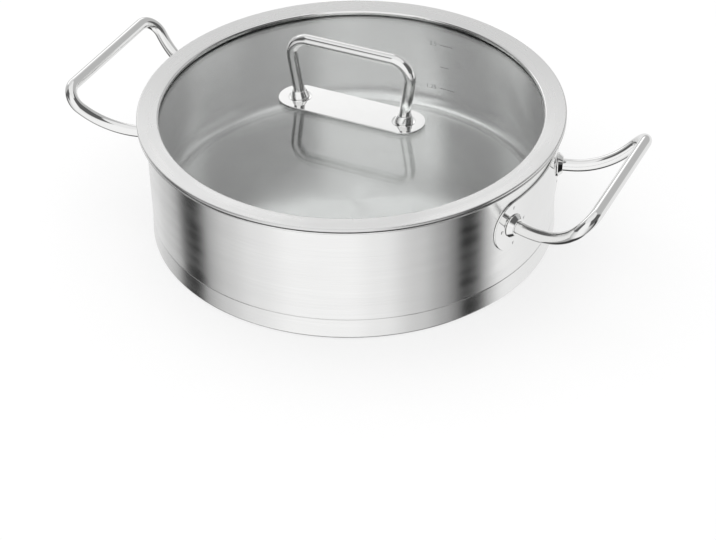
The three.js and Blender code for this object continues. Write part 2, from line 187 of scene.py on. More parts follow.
def new_piece(name: str, points: Iterable[Vector], faces: Iterable[Sequence[int]]) -> Piece:
    """Mesh object from points in millimetres, welded, facing out and smooth between sharp edges.

    Args:
        name: Name of the piece.
        points: Its vertices.
        faces: Vertex numbers of each face.

    Returns:
        The new object, linked to the scene.
    """
    mesh = bpy.data.meshes.new(name)
    mesh.from_pydata([tuple(point * MM) for point in points], [], [list(face) for face in faces])
    shape = bmesh.new()
    shape.from_mesh(mesh)
    bmesh.ops.remove_doubles(shape, verts=shape.verts, dist=WELD_DISTANCE)
    bmesh.ops.recalc_face_normals(shape, faces=shape.faces)
    shape.to_mesh(mesh)
    shape.free()
    mesh.shade_smooth()
    mesh.set_sharp_from_angle(angle=SHARP_ANGLE)
    piece = placed(name, mesh)
    piece.modifiers.new("even_normals", "WEIGHTED_NORMAL").keep_sharp = True
    return piece


def loft(name: str, rings: Sequence[Sequence[Vector]], looped: bool = False) -> Piece:
    """Skin over rings of equal count, closed at both ends or joined end to end.

    Args:
        name: Name of the piece.
        rings: Rings of points, in order.
        looped: True where the last ring joins the first.

    Returns:
        The new object.
    """
    count = len(rings[0])
    points = [point for ring in rings for point in ring]
    faces: list[list[int]] = []
    for k in range(len(rings) if looped else len(rings) - 1):
        low = k * count
        high = ((k + 1) % len(rings)) * count
        for i in range(count):
            j = (i + 1) % count
            faces.append([low + i, low + j, high + j, high + i])
    if not looped:
        faces.append(list(range(count)))
        faces.append(list(range(len(points) - count, len(points))))
    return new_piece(name, points, faces)


def circle(radius: float, height: float, count: int, middle: float = 0.0) -> list[Vector]:
    """Points of a level circle.

    Args:
        radius: Its radius.
        height: Its level.
        count: Number of points.
        middle: Its centre along X.

    Returns:
        The points in order.
    """
    angles = (2 * math.pi * i / count for i in range(count))
    return [Vector((middle + radius * math.cos(a), radius * math.sin(a), height)) for a in angles]


def revolve(name: str, outline: Sequence[Point2], segments: int = 192, looped: bool = True) -> Piece:
    """Body turned about Z.

    Args:
        name: Name of the piece.
        outline: Radius and height of each point.
        segments: Number of facets around.
        looped: True where the outline closes on itself, false where it ends near the axis.

    Returns:
        The new object.
    """
    return loft(name, [circle(radius, height, segments) for radius, height in outline], looped)


def sweep(name: str, path: Sequence[Vector], radius: float, sides: int = 36) -> Piece:
    """Round rod along a path.

    Args:
        name: Name of the piece.
        path: Points of the centre line.
        radius: The rod's radius.
        sides: Number of facets around.

    Returns:
        The new object.
    """
    rings = []
    across = (path[1] - path[0]).orthogonal().normalized()
    for k, point in enumerate(path):
        ahead = path[min(k + 1, len(path) - 1)] - path[max(k - 1, 0)]
        along = ahead.normalized()
        across = (across - along * across.dot(along)).normalized()
        beside = along.cross(across)
        ring = []
        for i in range(sides):
            angle = 2 * math.pi * i / sides
            ring.append(point + across * (radius * math.cos(angle)) + beside * (radius * math.sin(angle)))
        rings.append(ring)
    return loft(name, rings)


def stadium(half_span: float, radius: float, ends: int = 28, straight: int = 24) -> list[Point2]:
    """Long outline with two round ends, with the same count of points at any radius.

    Args:
        half_span: Middle to the centre of a round end.
        radius: Radius of the ends.
        ends: Chords in each end.
        straight: Chords in each straight edge.

    Returns:
        The outline's points in order.
    """
    right = arc((half_span, 0.0), radius, -90, 90, ends)
    left = arc((-half_span, 0.0), radius, 90, 270, ends)
    upper = [(half_span - 2 * half_span * k / straight, radius) for k in range(1, straight)]
    lower = [(-half_span + 2 * half_span * k / straight, -radius) for k in range(1, straight)]
    return right + upper + left + lower


def edged_plate(
    name: str, half_span: float, radius: float, sheet: float, edge: float, place: Place
) -> Piece:
    """Plate with two round ends and a rounded upper edge, laid on any surface.

    Args:
        name: Name of the piece.
        half_span: Middle to the centre of a round end.
        radius: Radius of the ends.
        sheet: Thickness.
        edge: Radius of the upper edge.
        place: Puts a point given by its length, width and depth in the plate's place.

    Returns:
        The new object.
    """
    inner_share = (0.75, 0.5, 0.25, 0.0)
    levels = [(radius * share, 0.0) for share in reversed(inner_share)]
    levels.append((radius, 0.0))
    levels.extend(arc((radius - edge, sheet - edge), edge, 0, 90, 6))
    levels.extend(((radius - edge) * share, sheet) for share in inner_share)
    rings = [[place(x, y, depth) for x, y in stadium(half_span, ring)] for ring, depth in levels]
    return loft(name, rings)


def join(name: str, parts: Sequence[Piece]) -> Piece:
    """Joins meshes into one piece.

    Args:
        name: Name of the joined piece.
        parts: Pieces to join, which are used up.

    Returns:
        The joined object.
    """
    shape = bmesh.new()
    for part in parts:
        shape.from_mesh(part.data)
    joined = parts[0]
    shape.to_mesh(joined.data)
    shape.free()
    for part in parts[1:]:
        bpy.data.objects.remove(part)
    joined.name = name
    return joined


def add_finish(piece: Piece, finish: "Finish") -> int:
    """Adds a finish to a piece and gives the number that its faces use for it."""
    piece.data.materials.append(finish.material())
    return len(piece.data.materials) - 1


def dress(piece: Piece, body: str, slot: Slot, finish: "Finish", *nodes: str) -> Piece:
    """Gives a piece its finish and its place on a body.

    Args:
        piece: The piece.
        body: The body that it rides on.
        slot: Material slot; not used.
        finish: What its surface is made of.
        *nodes: CAD nodes that it stands for.

    Returns:
        The same piece.
    """
    piece.data.materials.clear()
    add_finish(piece, finish)
    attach(piece, body)
    if nodes:
        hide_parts(*nodes)
    LOG.info("%s rides on %s with %s", piece.name, body, finish.name)
    return piece


def refinish(node: str, finish: "Finish") -> None:
    """Gives a CAD node that stays as it is its finish."""
    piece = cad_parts[node]
    piece.data.materials.clear()
    add_finish(piece, finish)


# Finishes


# where most of a noise texture's values lie
NOISE_SPAN = (0.3, 0.7)


class Graph:
    """Node tree with short ways to add and join nodes."""

    def __init__(self, tree: bpy.types.NodeTree) -> None:
        """Starts from an empty tree."""
        self.tree = tree
        tree.nodes.clear()

    def add(self, kind: str, values: dict | None = None, **settings: object) -> bpy.types.Node:
        """Adds a node.

        Args:
            kind: Blender's name for the node type.
            values: Input name or number to a value, or to a socket that feeds it.
            **settings: The node's own properties.

        Returns:
            The new node.
        """
        node = self.tree.nodes.new(kind)
        for key, value in settings.items():
            setattr(node, key, value)
        for key, value in (values or {}).items():
            if isinstance(value, Socket):
                self.tree.links.new(value, node.inputs[key])
            else:
                node.inputs[key].default_value = value
        return node

    def group(self, tree: bpy.types.NodeTree, **values: float) -> bpy.types.bpy_prop_collection:
        """Places a node group with its own values and gives its outputs."""
        return self.add("ShaderNodeGroup", values, node_tree=tree).outputs

    def noise(self, place: Socket, scale: Feed, detail: float, roughness: float = 0.5) -> Socket:
        """Adds a noise texture and gives its value."""
        values = {"Vector": place, "Scale": scale, "Detail": detail, "Roughness": roughness}
        return self.add("ShaderNodeTexNoise", values).outputs["Fac"]

    def vector(self, operation: str, values: dict) -> bpy.types.Node:
        """Adds a vector math node."""
        return self.add("ShaderNodeVectorMath", values, operation=operation)

    def math(self, operation: str, first: Feed, second: Feed = 0.0, third: Feed = 0.0) -> Socket:
        """Adds a math node and gives its result."""
        node = self.add("ShaderNodeMath", {0: first, 1: second, 2: third}, operation=operation)
        return node.outputs[0]

    def remap(
        self, value: Feed, low: float, high: float, to_low: float = 0.0, to_high: float = 1.0
    ) -> Socket:
        """Maps a value smoothly from one range to another."""
        ranges = {"Value": value, "From Min": low, "From Max": high, "To Min": to_low, "To Max": to_high}
        node = self.add("ShaderNodeMapRange", ranges, interpolation_type="SMOOTHSTEP")
        return node.outputs["Result"]

    def mix(self, share: Feed, first: Feed | tuple, second: Feed | tuple) -> Socket:
        """Mixes two colours.

        Args:
            share: How much of the second one shows.
            first: Colour socket, colour or plain level.
            second: Colour socket, colour or plain level.

        Returns:
            Colour socket.
        """
        node = self.add("ShaderNodeMix", data_type="RGBA")
        sockets = {socket.name: socket for socket in node.inputs if socket.enabled}
        for key, value in (("Factor", share), ("A", first), ("B", second)):
            if isinstance(value, Socket):
                self.tree.links.new(value, sockets[key])
            elif isinstance(value, float) and key != "Factor":
                sockets[key].default_value = (value, value, value, 1.0)
            else:
                sockets[key].default_value = value
        return next(socket for socket in node.outputs if socket.enabled)


class SharedGroups:
    """Shader node groups that more than one finish uses, each built once."""

    @staticmethod
    def _new(name: str, inputs: dict[str, float], outputs: Sequence[str]) -> Graph:
        """Empty group with named value sockets."""
        tree = bpy.data.node_groups.new(name, "ShaderNodeTree")
        for label, default in inputs.items():
            socket = tree.interface.new_socket(name=label, in_out="INPUT", socket_type="NodeSocketFloat")
            socket.default_value = default
        for label in outputs:
            tree.interface.new_socket(name=label, in_out="OUTPUT", socket_type="NodeSocketFloat")
        return Graph(tree)

    @classmethod
    def turned_grain(cls) -> bpy.types.NodeTree:
        """Fine lines round the pan's axis, as a turning brush leaves them.

        Returns:
            Group with inputs Fineness and Streak, and outputs Lines and Bands.
        """
        name = "turned_grain"
        if name in bpy.data.node_groups:
            return bpy.data.node_groups[name]
        graph = cls._new(name, {"Fineness": 2600.0, "Streak": 1.6}, ("Lines", "Bands"))
        given = graph.add("NodeGroupInput").outputs
        place = graph.add("ShaderNodeTexCoord").outputs["Object"]
        x, y, height = graph.add("ShaderNodeSeparateXYZ", {0: place}).outputs
        flat = graph.add("ShaderNodeCombineXYZ", {0: x, 1: y}).outputs[0]
        radius = graph.vector("LENGTH", {0: flat}).outputs["Value"]
        around = graph.vector("NORMALIZE", {0: flat}).outputs[0]
        drawn = graph.vector("SCALE", {0: around, "Scale": given["Streak"]}).outputs[0]
        turn = graph.add("ShaderNodeSeparateXYZ", {0: drawn}).outputs
        across = graph.math("MULTIPLY", graph.math("ADD", radius, height), given["Fineness"])
        spot = graph.add("ShaderNodeCombineXYZ", {0: turn[0], 1: turn[1], 2: across}).outputs[0]
        coarse = graph.vector("MULTIPLY", {0: spot, 1: (1.0, 1.0, 0.05)}).outputs[0]
        lines = graph.noise(spot, 1.0, 3.0)
        bands = graph.noise(coarse, 1.0, 2.0)
        graph.add("NodeGroupOutput", {"Lines": lines, "Bands": bands})
        return graph.tree

    @classmethod
    def handling(cls) -> bpy.types.NodeTree:
        """Faint cloudy marks that wiping and handling leave on bright metal and glass.

        Returns:
            Group with the input Size in metres and the output Marks.
        """
        name = "handling_marks"
        if name in bpy.data.node_groups:
            return bpy.data.node_groups[name]
        graph = cls._new(name, {"Size": 0.03}, ("Marks",))
        given = graph.add("NodeGroupInput").outputs
        place = graph.add("ShaderNodeTexCoord").outputs["Object"]
        scale = graph.math("DIVIDE", 1.0, given["Size"])
        graph.add("NodeGroupOutput", {"Marks": graph.noise(place, scale, 4.0, 0.6)})
        return graph.tree


@dataclass(frozen=True)
class Finish:
    """Base of the finishes: a name, a colour and a roughness."""

    name: str
    colour: Triple
    roughness: float

    def material(self) -> bpy.types.Material:
        """The finish's material, built once."""
        if self.name not in bpy.data.materials:
            material = bpy.data.materials.new(self.name)
            material.use_nodes = True
            self.build(Graph(material.node_tree))
        return bpy.data.materials[self.name]

    @staticmethod
    def shader(graph: Graph, **values: object) -> None:
        """Principled shader joined to the output.

        Args:
            graph: The material's nodes.
            **values: Socket names with underscores for spaces, to values or sockets.
        """
        named = {key.replace("_", " "): value for key, value in values.items()}
        shader = graph.add("ShaderNodeBsdfPrincipled", named)
        graph.add("ShaderNodeOutputMaterial", {"Surface": shader.outputs[0]})

    def tint(self, graph: Graph, mask: Socket, darkest: float) -> Socket:
        """The colour, darkened where a mask is low.

        Args:
            graph: The material's nodes.
            mask: Value from 0 to 1.
            darkest: Share of the colour that is left at 0.

        Returns:
            Colour socket.
        """
        low = (*(part * darkest for part in self.colour), 1.0)
        high = (*self.colour, 1.0)
        return graph.mix(mask, low, high)

    def build(self, graph: Graph) -> None:
        """Adds the finish's nodes."""
        raise NotImplementedError


@dataclass(frozen=True)
class TurnedSteel(Finish):
    """Satin steel brushed round the pan's axis, so that highlights draw out across the lines."""

    anisotropy: float = 0.8
    fineness: float = 2600.0
    bite: float = 0.00001
    line_shade: float = 0.97
    line_strength: float = 0.05
    band_spread: float = 0.025
    mark_size: float = 0.05
    mark_span: Point2 = (0.35, 0.7)
    mark_spread: Point2 = (-0.015, 0.02)
    # share of a turn that lays the highlights across the brush lines
    across_lines: float = 0.25

    def build(self, graph: Graph) -> None:
        """Adds the finish's nodes."""
        grain = graph.group(SharedGroups.turned_grain(), Fineness=self.fineness)
        marks = graph.group(SharedGroups.handling(), Size=self.mark_size)["Marks"]
        lines = graph.remap(grain["Lines"], *NOISE_SPAN)
        spread = graph.remap(grain["Bands"], *NOISE_SPAN, -self.band_spread, self.band_spread)
        smear = graph.remap(marks, *self.mark_span, *self.mark_spread)
        rough = graph.math("ADD", graph.math("ADD", spread, smear), self.roughness)
        relief = {"Strength": self.line_strength, "Distance": self.bite, "Height": lines}
        bump = graph.add("ShaderNodeBump", relief)
        tangent = graph.add("ShaderNodeTangent", direction_type="RADIAL", axis="Z")
        self.shader(
            graph,
            Base_Color=self.tint(graph, lines, self.line_shade),
            Metallic=1.0,
            Roughness=rough,
            Anisotropic=self.anisotropy,
            Anisotropic_Rotation=self.across_lines,
            Normal=bump.outputs[0],
            Tangent=tangent.outputs[0],
        )


@dataclass(frozen=True)
class MirrorSteel(Finish):
    """Polished steel with faint marks of wiping."""

    mark_size: float = 0.012
    mark_span: Point2 = (0.35, 0.75)
    mark_shade: float = 0.95
    mark_blur: float = 1.8

    def build(self, graph: Graph) -> None:
        """Adds the finish's nodes."""
        marks = graph.group(SharedGroups.handling(), Size=self.mark_size)["Marks"]
        rough = graph.remap(marks, *self.mark_span, self.roughness, self.roughness * self.mark_blur)
        colour = self.tint(graph, marks, self.mark_shade)
        self.shader(graph, Base_Color=colour, Metallic=1.0, Roughness=rough)


@dataclass(frozen=True)
class ClearGlass(Finish):
    """Flat clear glass."""

    ior: float = 1.8

    def build(self, graph: Graph) -> None:
        """Adds the finish's nodes."""
        self.shader(
            graph,
            Base_Color=(*self.colour, 1.0),
            Metallic=0.0,
            Roughness=self.roughness,
            IOR=self.ior,
            Transmission_Weight=1.0,
        )


@dataclass(frozen=True)
class MattSkin(Finish):
    """Dark matt surface with a fine skin, such as silicone or an etched mark."""

    mark_size: float = 0.002
    mark_shade: float = 0.7
    relief_strength: float = 0.2
    relief_depth: float = 0.0001
    spread: float = 0.06

    def build(self, graph: Graph) -> None:
        """Adds the finish's nodes."""
        marks = graph.group(SharedGroups.handling(), Size=self.mark_size)["Marks"]
        relief = {"Strength": self.relief_strength, "Distance": self.relief_depth, "Height": marks}
        bump = graph.add("ShaderNodeBump", relief)
        smooth, dull = self.roughness - self.spread, self.roughness + self.spread
        rough = graph.remap(marks, *NOISE_SPAN, smooth, dull)
        self.shader(
            graph,
            Base_Color=self.tint(graph, marks, self.mark_shade),
            Metallic=0.0,
            Roughness=rough,
            Normal=bump.outputs[0],
        )


WALL_STEEL = TurnedSteel("wall_steel", (0.90, 0.90, 0.895), 0.18, 0.9)
# painted light and shade: the inside wall is a darker copy of the wall steel, as painted shade, and the
# cooking floor a lighter copy, as painted light
SHADED_INSIDE_STEEL = TurnedSteel("shaded_inside_steel", (0.80, 0.80, 0.796), 0.22, 0.9, 900.0, 0.000002, 0.995)
LIT_FLOOR_STEEL = TurnedSteel("lit_floor_steel", (0.96, 0.96, 0.955), 0.22, 0.9, 900.0, 0.000002, 0.995)
RING_STEEL = TurnedSteel("ring_steel", (0.75, 0.75, 0.746), 0.28, 0.6, 3000.0, 0.000006, 0.985)
ROD_STEEL = MirrorSteel("polished_rod_steel", (0.90, 0.90, 0.895), 0.03)
# painted shade: dark steel for the lid ring's underside, standing in for the shade in the gap over the rim
PAINTED_SHADE_STEEL = MirrorSteel("painted_shade_underside_steel", (0.12, 0.12, 0.12), 0.5)
SCREW_STEEL = MirrorSteel("screw_steel", (0.70, 0.70, 0.69), 0.16)
PANE_GLASS = ClearGlass("pane_glass", (0.97, 0.985, 0.98), 0.0)
SEAL_RUBBER = MattSkin("seal_rubber_skin", (0.02, 0.02, 0.021), 0.55)
ETCHED_MARK = MattSkin("etched_mark", (0.12, 0.12, 0.12), 0.5)
CORE_ALUMINIUM = TurnedSteel("core_aluminium_face", (0.72, 0.73, 0.74), 0.42, 0.4, 1500.0)


# Pan


@dataclass
class PanShell:
    """Drawn steel shell: floor, round corner, straight wall and flared pouring rim."""

    inner_radius: float = 140.0
    sheet: float = 1.0
    height: float = 88.8
    floor_underside: float = 7.6
    corner_radius: float = 11.0
    flare_radius: float = 5.0
    lip_reach: float = 1.15
    lip_droop: float = 0.75
    wall_foot: float = 15.45
    foot_round: float = 0.15
    # upward part of a face's normal from which it counts as facing up, and as flat floor
    upward_normal: float = 0.5
    floor_normal: float = 0.999
    # share of the floor's level above which a face lies inside
    floor_margin: float = 0.99

    @property
    def outer_radius(self) -> float:
        """Outside of the straight wall."""
        return self.inner_radius + self.sheet

    @property
    def floor_top(self) -> float:
        """Level of the cooking floor."""
        return self.floor_underside + self.sheet

    def build(self) -> Piece:
        """Turns the shell.

        Returns:
            The new piece.
        """
        corner = (self.inner_radius - self.corner_radius, self.floor_top + self.corner_radius)
        flare = (self.inner_radius + self.flare_radius, self.height - self.flare_radius)
        lip = (flare[0] + self.lip_reach, self.height - self.lip_droop - self.sheet / 2)
        outer_corner = self.corner_radius + self.sheet
        hidden = math.degrees(math.asin((self.wall_foot - corner[1]) / outer_corner))
        outline = [
            (NEAR_AXIS, self.floor_underside),
            *arc(corner, outer_corner, -90, hidden, 12),
            (self.outer_radius - self.foot_round, self.wall_foot),
            (self.outer_radius, self.wall_foot + self.foot_round),
            *arc(flare, self.flare_radius - self.sheet, 180, 90, 10),
            *arc(lip, self.sheet / 2, -70, 70, 6),
            *arc(flare, self.flare_radius, 90, 180, 10),
            *arc(corner, self.corner_radius, 0, -90, 14),
            (NEAR_AXIS, self.floor_top),
        ]
        return revolve("pan_shell_turned", outline, PAN_FACETS, looped=False)

    def dress(self) -> None:
        """Builds the shell and finishes it, satin outside and inside, with the inside wall painted darker
        as shade and the floor painted lighter as light.
        """
        shell = dress(self.build(), PAN_BODY, Slot.BRUSHED, WALL_STEEL, "pan_shell")
        wall, floor = (add_finish(shell, finish) for finish in (SHADED_INSIDE_STEEL, LIT_FLOOR_STEEL))
        inside = (self.inner_radius + self.sheet / 2) * MM
        lowest = self.floor_top * MM * self.floor_margin
        for face in shell.data.polygons:
            middle = Vector(face.center)
            inward = face.normal.xy.dot(middle.xy) < 0 or face.normal.z > self.upward_normal
            if inward and middle.xy.length < inside and middle.z > lowest:
                # painted light on the flat floor, painted shade on the inside wall
                face.material_index = floor if face.normal.z > self.floor_normal else wall


@dataclass
class Base:
    """Encapsulated base: a pressed cap round an aluminium core."""

    top_inner_radius: float = 140.2
    sheet: float = 0.8
    flare: float = 0.6
    corner_radius: float = 2.0
    height: float = 15.0
    edge: float = 0.25

    def build(self) -> Piece:
        """Turns the cap.

        Returns:
            The new piece.
        """
        top_radius = self.top_inner_radius + self.sheet
        corner = (top_radius + self.flare - self.corner_radius, self.corner_radius)
        outline = [
            (NEAR_AXIS, 0.0),
            *arc(corner, self.corner_radius, -90, 0, 10),
            *arc((top_radius - self.edge, self.height - self.edge), self.edge, 0, 90, 5),
            (self.top_inner_radius, self.height),
            *arc(corner, self.corner_radius - self.sheet, 0, -90, 8),
            (NEAR_AXIS, self.sheet),
        ]
        return revolve("base_cap_pressed", outline, PAN_FACETS, looped=False)

    def dress(self) -> None:
        """Builds the cap, and finishes the core that it hides."""
        dress(self.build(), PAN_BODY, Slot.BRUSHED, WALL_STEEL, "base_cap")
        refinish("base_core", CORE_ALUMINIUM)


@dataclass
class SideHandle:
    """Bent rod handle in two collars on a curved plate."""

    side: Side
    rod_radius: float = 4.25
    level: float = 56.0
    wall_radius: float = 141.0
    socket_angle: float = 16.1
    level_run: float = 33.7
    reach: float = 53.7
    rise: float = 28.9
    half_width: float = 61.3
    bend_radius: float = 57.0
    corner_radius: float = 11.6
    plate_gap: float = 0.3
    plate_sheet: float = 1.0
    plate_half_height: float = 18.3
    plate_edge: float = 0.35
    collar_base_radius: float = 8.4
    collar_top_radius: float = 5.8
    collar_height: float = 3.6
    collar_land: float = 0.6
    collar_fit: float = 0.15
    collar_gap: float = 0.1
    weld_across: float = 11.6
    weld_above: float = 13.9
    weld_radius: float = 1.3
    weld_height: float = 0.3
    weld_sink: float = 0.02
    weld_facets: int = 20

    @property
    def plate_middle(self) -> float:
        """Radius at the middle of the plate's sheet."""
        return self.wall_radius + self.plate_gap + self.plate_sheet / 2

    @property
    def plate_face(self) -> float:
        """Radius of the plate's outer face."""
        return self.wall_radius + self.plate_gap + self.plate_sheet

    @staticmethod
    def _outward(angle: float) -> Vector:
        """Level direction away from the axis, at an angle in degrees."""
        return Vector((math.cos(math.radians(angle)), math.sin(math.radians(angle)), 0.0))

    def _on_wall(self, length: float, up: float, depth: float) -> Vector:
        """Point of the plate by its length round the wall, height and depth."""
        radius = self.wall_radius + self.plate_gap + depth
        out = self._outward(math.degrees(length / self.plate_middle))
        return out * radius + Vector((0.0, 0.0, self.level + up))

    @staticmethod
    def _face_out(piece: Piece, seat: Vector, out: Vector) -> None:
        """Turns a piece from the pan's axis to face outward, and moves it to its seat."""
        aim = UPWARD.rotation_difference(out).to_matrix().to_4x4()
        piece.data.transform(Matrix.Translation(seat * MM) @ aim)

    def build_plate(self) -> Piece:
        """Wraps the plate on the wall.

        Returns:
            The new piece.
        """
        name = f"handle_plate_{self.side.value}_formed"
        half_span = self.plate_middle * math.radians(self.socket_angle)
        thin, edge = self.plate_sheet, self.plate_edge
        return edged_plate(name, half_span, self.plate_half_height, thin, edge, self._on_wall)

    def build_rod(self) -> Piece:
        """Bends the rod from socket to socket.

        Returns:
            The new piece.
        """
        halves = []
        for sign in (-1, 1):
            out = self._outward(sign * self.socket_angle)
            level = Vector((0.0, 0.0, self.level))
            grip = Vector((self.wall_radius + self.reach, sign * self.half_width, self.level + self.rise))
            start = out * (self.plate_face + self.plate_gap) + level
            halves.append([start, out * (self.wall_radius + self.level_run) + level, grip])
        corners = halves[0] + halves[1][::-1]
        radii = (self.bend_radius, self.corner_radius, self.corner_radius, self.bend_radius)
        return sweep(f"handle_rod_{self.side.value}_bent", bent_path(corners, radii), self.rod_radius)

    def build_collar(self, angle: float, label: str) -> Piece:
        """Turns a conical collar and sets it on the plate.

        Args:
            angle: Its place round the pan, in degrees from the handle's axis.
            label: Letter that tells it from the other collar.

        Returns:
            The new piece.
        """
        bore = self.rod_radius + self.collar_fit
        outline = rounded([
            (bore, 0.0, 0.0),
            (self.collar_base_radius, 0.0, 0.0),
            (self.collar_base_radius, self.collar_land, 0.3),
            (self.collar_top_radius, self.collar_height, 0.4),
            (bore, self.collar_height, 0.1),
        ])
        collar = revolve(f"handle_collar_{self.side.value}_{label}_turned", outline, COLLAR_FACETS)
        out = self._outward(angle)
        seat = out * (self.plate_face + self.collar_gap) + Vector((0.0, 0.0, self.level))
        self._face_out(collar, seat, out)
        return collar

    def build_welds(self) -> Piece:
        """Raises the small spot-weld marks round both sockets.

        Returns:
            One piece that holds all the marks.
        """
        marks = []
        dome = arc((0.0, 0.0), 1.0, 0, 90, 5)
        outline = [(self.weld_radius * x + NEAR_AXIS, self.weld_height * y) for x, y in dome]
        outline[-1] = (NEAR_AXIS, self.weld_height)
        for sign in (-1, 1):
            socket = sign * self.plate_middle * math.radians(self.socket_angle)
            for step in range(4):
                angle = math.radians(step * 90)
                length = socket + self.weld_across * math.cos(angle)
                up = self.weld_above * math.sin(angle)
                mark = revolve("weld", outline, self.weld_facets, looped=False)
                out = self._on_wall(length, 0.0, 0.0)
                seat = self._on_wall(length, up, self.plate_sheet - self.weld_sink)
                self._face_out(mark, seat, out - Vector((0, 0, out.z)))
                marks.append(mark)
        return join(f"handle_welds_{self.side.value}", marks)

    def dress(self) -> None:
        """Builds the handle's pieces on its side of the pan and polishes them."""
        side = self.side.value
        pieces = {
            f"handle_plate_{side}": self.build_plate(),
            f"handle_rod_{side}": self.build_rod(),
            f"handle_collar_{side}_a": self.build_collar(-self.socket_angle, "a"),
            f"handle_collar_{side}_b": self.build_collar(self.socket_angle, "b"),
        }
        welds = self.build_welds()
        for piece in (*pieces.values(), welds):
            piece.data.transform(self.side.turn)
        for node, piece in pieces.items():
            dress(piece, PAN_BODY, Slot.POLISHED, ROD_STEEL, node)
        dress(welds, PAN_BODY, Slot.POLISHED, ROD_STEEL)


@dataclass
class VolumeScale:
    """Etched ticks with plain numbers on the pan's inner wall."""

    wall_radius: float = 140.0
    azimuth: float = 88.1
    levels: tuple[float, ...] = (24.6, 43.1, 61.7)
    lengths: tuple[float, ...] = (12.0, 7.0, 10.0)
    numbers: tuple[str, ...] = ("1.25", "", "3.5")
    tick_width: float = 0.8
    number_height: float = 5.0
    number_gap: float = 3.0
    lift: float = 0.06

    def _on_wall(self, along: float, up: float, level: float) -> Vector:
        """Point on the inner wall, along to the right as seen from inside the pan."""
        angle = math.radians(self.azimuth) - along / self.wall_radius
        radius = self.wall_radius - self.lift
        return Vector((radius * math.cos(angle), radius * math.sin(angle), level + up))

    def build_tick(self, level: float, length: float) -> Piece:
        """Etches one tick.

        Args:
            level: Its height.
            length: Its length.

        Returns:
            The new piece.
        """
        steps = 6
        half = self.tick_width / 2
        points = []
        for k in range(steps + 1):
            along = length * k / steps
            points.extend([self._on_wall(along, -half, level), self._on_wall(along, half, level)])
        faces = [[2 * k, 2 * k + 2, 2 * k + 3, 2 * k + 1] for k in range(steps)]
        return new_piece("tick", points, faces)

    def build_number(self, text: str, level: float) -> Piece:
        """Etches one number to the left of its tick.

        Args:
            text: The number.
            level: Its height.

        Returns:
            The new piece.
        """
        words = bpy.data.curves.new("number", "FONT")
        words.body = text
        words.size = self.number_height
        words.align_x = "RIGHT"
        words.align_y = "CENTER"
        writer = bpy.data.objects.new("number", words)
        flat = writer.to_mesh()
        spots = [vertex.co for vertex in flat.vertices]
        points = [self._on_wall(spot.x - self.number_gap, spot.y, level) for spot in spots]
        faces = [list(face.vertices) for face in flat.polygons]
        writer.to_mesh_clear()
        bpy.data.objects.remove(writer)
        return new_piece("number", points, faces)

    def dress(self) -> None:
        """Builds the scale as one piece."""
        parts = [self.build_tick(level, length) for level, length in zip(self.levels, self.lengths)]
        for text, level in zip(self.numbers, self.levels):
            if text:
                parts.append(self.build_number(text, level))
        dress(join("volume_scale", parts), PAN_BODY, Slot.BRUSHED, ETCHED_MARK)


# Lid


@dataclass
class LidRing:
    """Formed steel ring on the pan's rim, with a skirt inside the wall, and its seal."""

    seat: float = 89.1
    outer_radius: float = 146.6
    inner_radius: float = 131.6
    skirt_radius: float = 139.4
    sheet: float = 0.8
    inner_rise: float = 0.7
    outer_thickness: float = 2.0
    outer_drop: float = 0.1
    edge_height: float = 2.85
    edge_roll: float = 1.6
    lip_top: float = 82.3
    seal_bottom: float = 86.65
    seal_top: float = 86.9
    seal_inset: float = 1.6
    seal_gap: float = 0.3
    # share of the inner edge's roll that is polished
    polished_share: float = 0.6
    # upward part of a face's normal below which it counts as underside, which is painted dark as shade
    underside_normal: float = -0.9

    def build(self) -> Piece:
        """Turns the ring.

        Returns:
            The new piece.
        """
        inner_top = self.seat + self.inner_rise
        inner_bottom = inner_top - self.edge_height
        skirt_inner = self.skirt_radius - self.sheet
        lip_bottom = self.lip_top - self.sheet
        outline = rounded([
            (self.inner_radius, inner_bottom, 0.25),
            (skirt_inner, inner_bottom, 0.0),
            (skirt_inner, self.lip_top, 0.0),
            (self.inner_radius, self.lip_top, 0.3),
            (self.inner_radius, lip_bottom, 0.3),
            (self.skirt_radius, lip_bottom, 0.8),
            (self.skirt_radius, self.seat, 0.0),
            (self.outer_radius, self.seat, 0.2),
            (self.outer_radius, self.seat + self.outer_thickness - self.outer_drop, 0.9),
            (self.inner_radius, inner_top, self.edge_roll),
        ], 8)
        return revolve("lid_ring_formed", outline, PAN_FACETS)

    def build_seal(self) -> Piece:
        """Turns the seal between ring and glass.

        Returns:
            The new piece.
        """
        low, high = self.seal_bottom, self.seal_top
        inner = self.inner_radius + self.seal_inset
        outer = self.skirt_radius - self.sheet - self.seal_gap
        corners = [(inner, low, 0.1), (outer, low, 0.0), (outer, high, 0.0), (inner, high, 0.1)]
        return revolve("lid_seal_moulded", rounded(corners))

    def dress(self) -> None:
        """Builds ring and seal, satin on top, polished on the inner edge, and painted dark on the underside
        as shade.
        """
        ring = dress(self.build(), LID_BODY, Slot.BRUSHED, RING_STEEL, "lid_ring")
        polish, underside = (add_finish(ring, finish) for finish in (ROD_STEEL, PAINTED_SHADE_STEEL))
        polished = (self.inner_radius + self.polished_share * self.edge_roll) * MM
        for face in ring.data.polygons:
            reach = Vector(face.center).xy.length
            if reach < polished and face.center.z > self.lip_top * MM:
                face.material_index = polish
            # faces under the ring, over the rim, get the dark steel as painted shade
            elif reach > self.skirt_radius * MM and face.normal.z < self.underside_normal:
                face.material_index = underside
        dress(self.build_seal(), LID_BODY, Slot.RUBBER, SEAL_RUBBER, "lid_seal")


